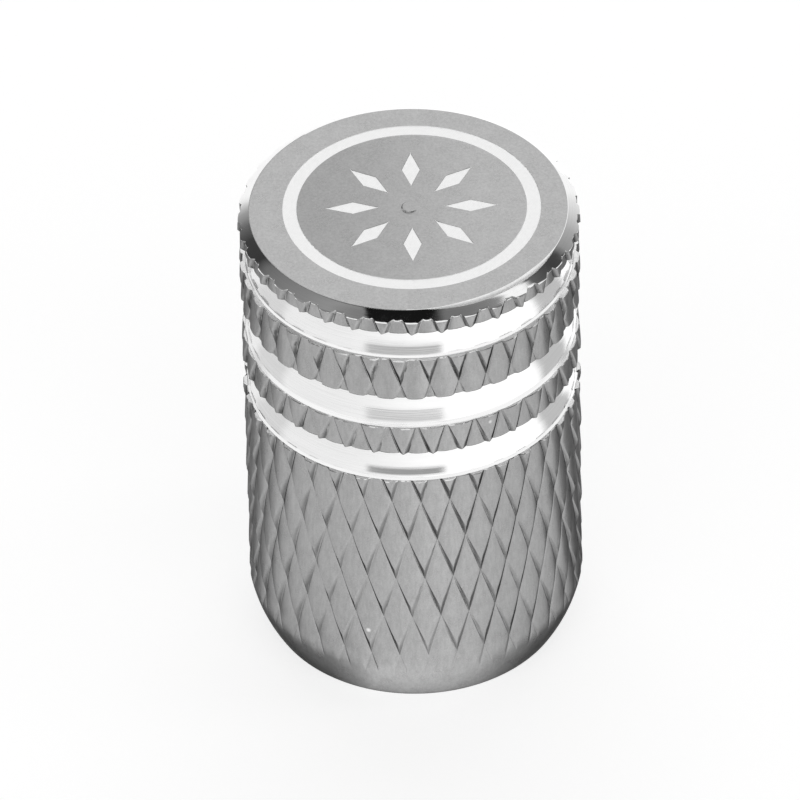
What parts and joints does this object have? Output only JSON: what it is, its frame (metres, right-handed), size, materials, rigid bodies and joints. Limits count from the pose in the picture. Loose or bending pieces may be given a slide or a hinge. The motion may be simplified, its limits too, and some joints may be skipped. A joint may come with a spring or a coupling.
{
  "type": "tyre valve cap",
  "caption": "Knurled metal screw cap with polished turned rings and a rubber sealing washer inside, which closes the mouth of a tyre valve.",
  "frame": {"origin": "centre of the open rim, on the surface that the cap stands on", "axes": "+Z along the cap's axis, from the open rim to the closed, marked face; -Y is the picture's front"},
  "size_m": [0.0104, 0.0104, 0.0157],
  "materials": {
    "aluminium": "satin grey, anodised, with polished rings and chamfer cut through to bright metal",
    "rubber": "matt black moulded rubber"
  },
  "bodies": {
    "root": {"cap_body": "aluminium", "seal_washer": "rubber"}
  },
  "joints": []
}
